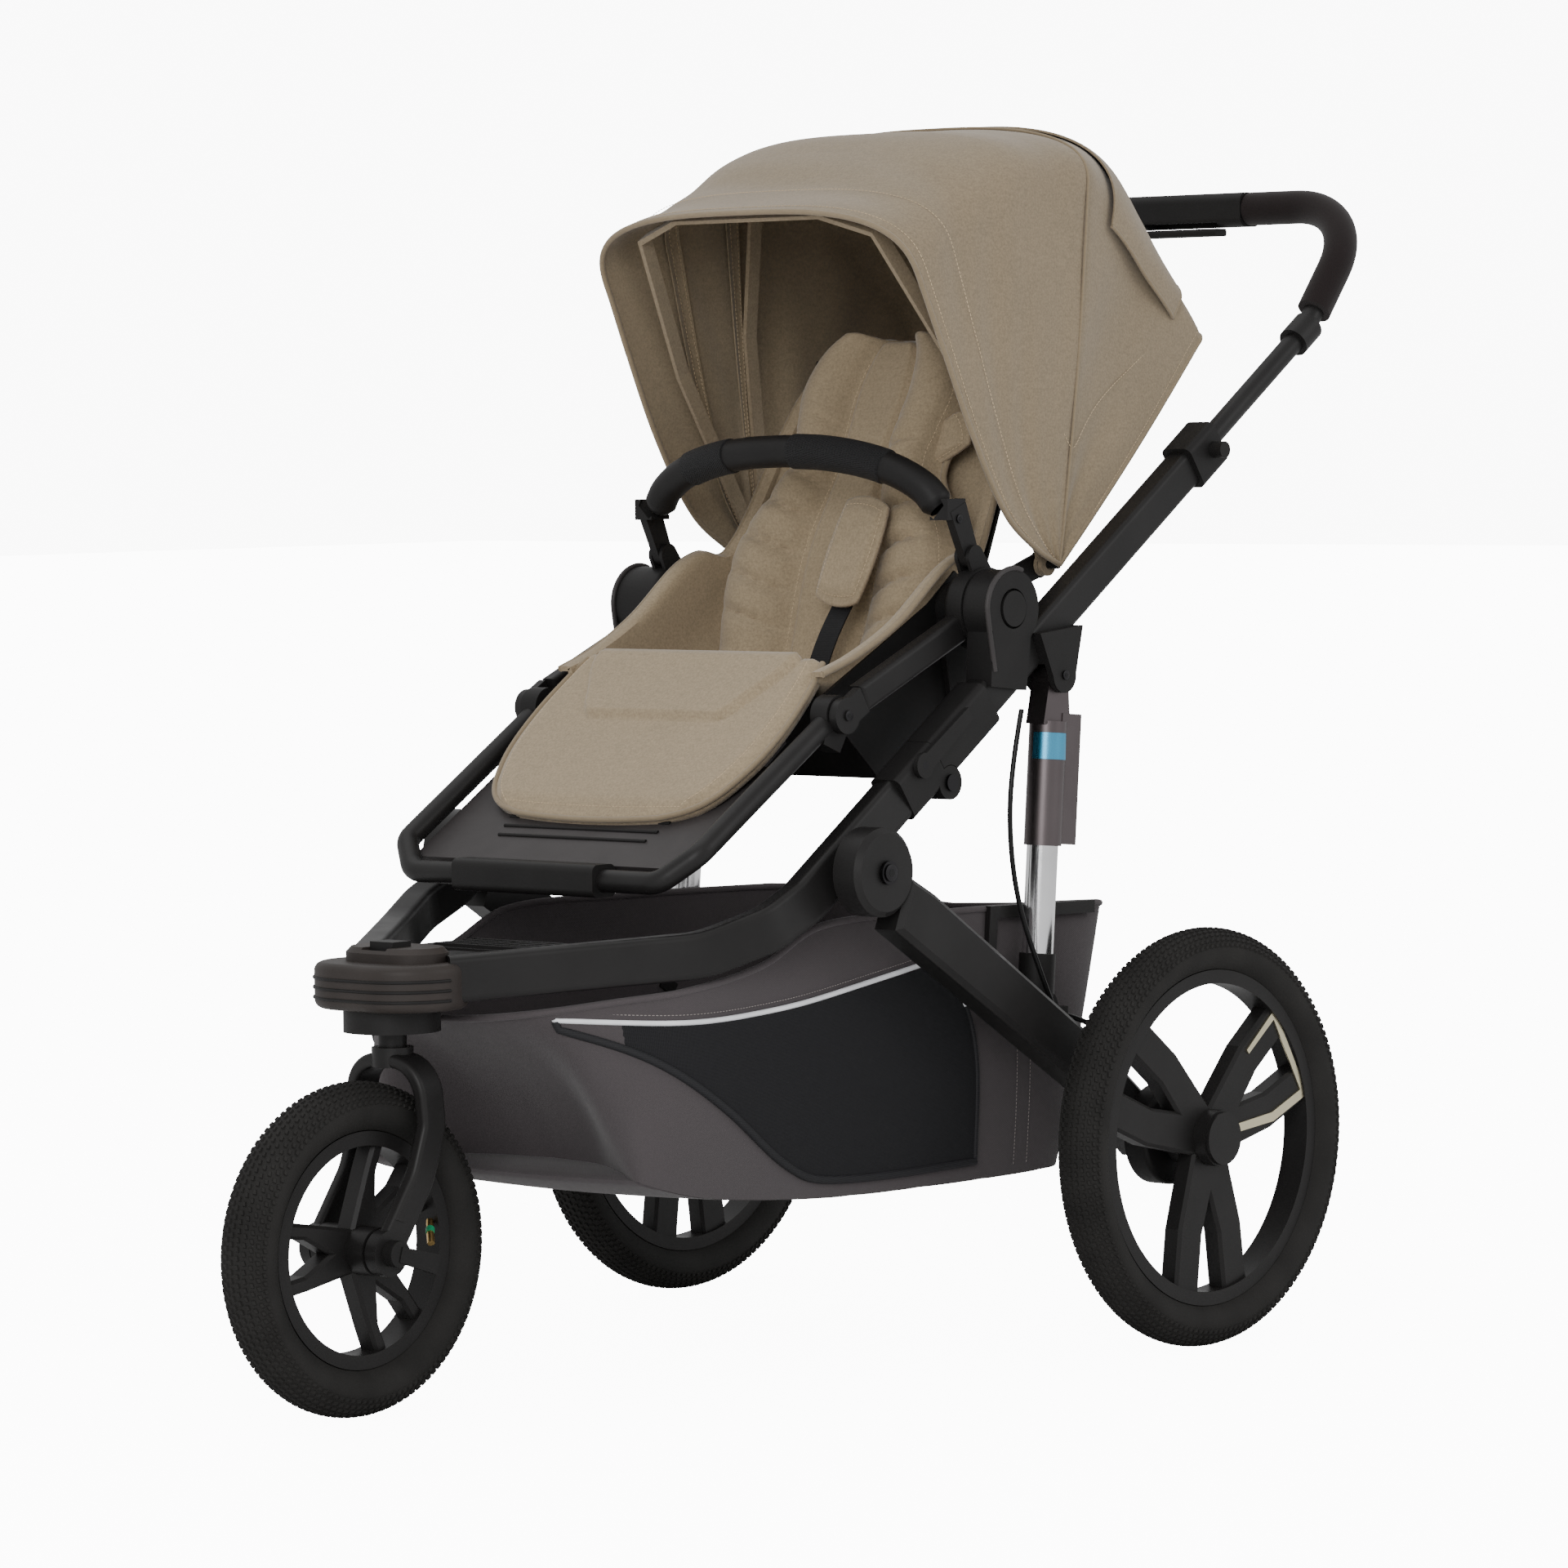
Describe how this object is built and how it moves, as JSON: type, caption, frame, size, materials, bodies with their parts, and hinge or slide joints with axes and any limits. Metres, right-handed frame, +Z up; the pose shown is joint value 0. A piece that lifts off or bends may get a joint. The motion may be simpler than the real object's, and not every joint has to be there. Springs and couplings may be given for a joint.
{
  "type": "jogging stroller",
  "caption": "Three-wheeled jogging stroller: folding tube frame, suspension struts, reclining padded seat, folding canopy, bumper bar, storage basket and telescoping handlebar.",
  "frame": {"origin": "on the floor, midway between the front of the front tyre and the back of the handlebar, on the centre line", "axes": "+Z up, -Y the direction of travel, +X the seated child's left"},
  "size_m": [0.7308, 1.392, 1.165],
  "materials": {
    "frame_black": "satin black powder coat",
    "hard_plastic": "fine matt black",
    "grip_foam": "dark brown-black foam",
    "tyre_rubber": "black knobbly rubber",
    "wheel_black": "satin black",
    "strut_metal": "dark anodised",
    "window_blue": "blue anodised",
    "rod_chrome": "polished",
    "accent_champagne": "champagne satin",
    "canopy_fabric": "taupe heathered weave",
    "seat_fabric": "taupe padded weave",
    "basket_fabric": "charcoal twill",
    "cable_black": "gloss black sheath",
    "bare_steel": "dark zinc"
  },
  "bodies": {
    "chassis": {"lower_tubes": "frame_black", "lower_collars": "hard_plastic", "frame_pins": "bare_steel", "front_head": "hard_plastic", "head_cap": "hard_plastic", "swivel_bearing": "hard_plastic", "head_tray": "hard_plastic", "basket": "basket_fabric"},
    "swivel_lock": {"swivel_lock": "hard_plastic"},
    "front_fork": {"fork": "frame_black", "quick_release": "bare_steel"},
    "front_wheel": {"front_tyre": "tyre_rubber", "front_rim": "wheel_black"},
    "fold_latches": {"fold_latches": "hard_plastic"},
    "upper_frame": {"upper_tubes": "frame_black", "upper_collars": "hard_plastic", "telescope_collars": "hard_plastic", "seat_adapters": "hard_plastic", "strut_lugs": "hard_plastic"},
    "handlebar": {"handle_tube": "frame_black", "handle_grips": "grip_foam", "handle_housing": "hard_plastic"},
    "handle_lever": {"handle_lever": "hard_plastic"},
    "rear_legs": {"rear_legs": "frame_black", "rear_axle": "bare_steel", "brake_drums": "hard_plastic", "basket_links": "frame_black", "leg_fittings": "hard_plastic", "brake_cable_lower": "cable_black"},
    "struts": {"strut_housings": "strut_metal", "strut_windows": "window_blue", "strut_rods": "rod_chrome", "strut_sockets": "hard_plastic", "brake_cable_upper": "cable_black"},
    "rear_wheel_left": {"rear_tyre_left": "tyre_rubber", "rear_rim_left": "wheel_black", "spoke_accent_left": "accent_champagne"},
    "rear_wheel_right": {"rear_tyre_right": "tyre_rubber", "rear_rim_right": "wheel_black", "spoke_accent_right": "accent_champagne"},
    "seat": {"seat_shell": "hard_plastic", "seat_side_tubes": "frame_black", "seat_hubs": "hard_plastic", "bumper_sockets": "hard_plastic", "seat_pad": "seat_fabric", "back_pad": "seat_fabric", "canopy_mounts": "hard_plastic", "canopy_rear_panel": "canopy_fabric"},
    "hub_button_left": {"hub_button_left": "hard_plastic"},
    "hub_button_right": {"hub_button_right": "hard_plastic"},
    "calf_rest": {"calf_loop": "frame_black", "calf_brackets": "hard_plastic", "foot_plate": "hard_plastic", "foot_bar_cover": "hard_plastic", "calf_pad": "seat_fabric"},
    "bumper_bar": {"bumper_arch": "grip_foam", "bumper_ends": "hard_plastic"},
    "canopy_middle": {"canopy_bow_mid": "frame_black", "canopy_front_panel": "canopy_fabric"},
    "canopy_front": {"canopy_bow_front": "frame_black"}
  },
  "joints": [
    {"name": "front_swivel", "type": "hinge", "parent": "chassis", "child": "front_fork", "pos_m": [0, -0.492, 0.33], "axis": [0, 0, 1], "continuous": true},
    {"name": "front_wheel_spin", "type": "hinge", "parent": "front_fork", "child": "front_wheel", "pos_m": [0, -0.545, 0.151], "axis": [1, 0, 0], "continuous": true},
    {"name": "swivel_lock_slide", "type": "slide", "parent": "chassis", "child": "swivel_lock", "axis": [0, -1, 0], "range_m": [0, 0.008]},
    {"name": "frame_fold", "type": "hinge", "parent": "chassis", "child": "upper_frame", "pos_m": [0, 0.004, 0.548], "axis": [-1, 0, 0], "range_deg": [0, 80], "deforming": ["basket"]},
    {"name": "leg_fold", "type": "hinge", "parent": "chassis", "child": "rear_legs", "pos_m": [0, -0.134, 0.474], "axis": [-1, 0, 0], "range_deg": [0, 51.2], "deforming": ["brake_cable_lower"]},
    {"name": "strut_fold", "type": "hinge", "parent": "upper_frame", "child": "struts", "pos_m": [0, 0.166, 0.642], "axis": [-1, 0, 0], "range_deg": [-42.8, 0], "deforming": ["brake_cable_upper"]},
    {"name": "fold_latch", "type": "hinge", "parent": "chassis", "child": "fold_latches", "pos_m": [0, -0.038, 0.566], "axis": [-1, 0, 0], "range_deg": [-14, 0], "stiffness_Nm_per_rad": 2},
    {"name": "handle_height", "type": "slide", "parent": "upper_frame", "child": "handlebar", "axis": [0, 0.8251, 0.565], "range_m": [-0.1, 0.03]},
    {"name": "handle_lever_squeeze", "type": "slide", "parent": "handlebar", "child": "handle_lever", "axis": [0, 0, 1], "range_m": [0, 0.005], "stiffness_N_per_m": 800},
    {"name": "rear_wheel_left_spin", "type": "hinge", "parent": "rear_legs", "child": "rear_wheel_left", "pos_m": [0.3374, 0.254, 0.2], "axis": [1, 0, 0], "continuous": true},
    {"name": "rear_wheel_right_spin", "type": "hinge", "parent": "rear_legs", "child": "rear_wheel_right", "pos_m": [-0.3374, 0.254, 0.2], "axis": [1, 0, 0], "continuous": true},
    {"name": "seat_recline", "type": "hinge", "parent": "upper_frame", "child": "seat", "pos_m": [0, 0.098, 0.707], "axis": [-1, 0, 0], "range_deg": [0, 28]},
    {"name": "hub_button_left_press", "type": "slide", "parent": "upper_frame", "child": "hub_button_left", "axis": [-1, 0, 0], "range_m": [0, 0.003], "stiffness_N_per_m": 500},
    {"name": "hub_button_right_press", "type": "slide", "parent": "upper_frame", "child": "hub_button_right", "axis": [1, 0, 0], "range_m": [0, 0.003], "stiffness_N_per_m": 500},
    {"name": "calf_rest_lift", "type": "hinge", "parent": "seat", "child": "calf_rest", "pos_m": [0, -0.1, 0.614], "axis": [-1, 0, 0], "range_deg": [0, 26]},
    {"name": "bumper_swing", "type": "hinge", "parent": "seat", "child": "bumper_bar", "pos_m": [0, 0.086, 0.756], "axis": [1, 0, 0], "range_deg": [0, 40]},
    {"name": "canopy_fold", "type": "hinge", "parent": "seat", "child": "canopy_middle", "pos_m": [0, 0.219, 0.745], "axis": [-1, 0, 0], "range_deg": [0, 34], "deforming": ["canopy_rear_panel"]},
    {"name": "canopy_front_fold", "type": "hinge", "parent": "canopy_middle", "child": "canopy_front", "pos_m": [0, 0.219, 0.745], "axis": [-1, 0, 0], "range_deg": [0, 20.4], "deforming": ["canopy_front_panel"]}
  ],
  "couplings": [
    {"joint": "leg_fold", "follows": "frame_fold", "ratio": 0.64},
    {"joint": "strut_fold", "follows": "frame_fold", "ratio": -0.535},
    {"joint": "canopy_front_fold", "follows": "canopy_fold", "ratio": 0.6}
  ]
}
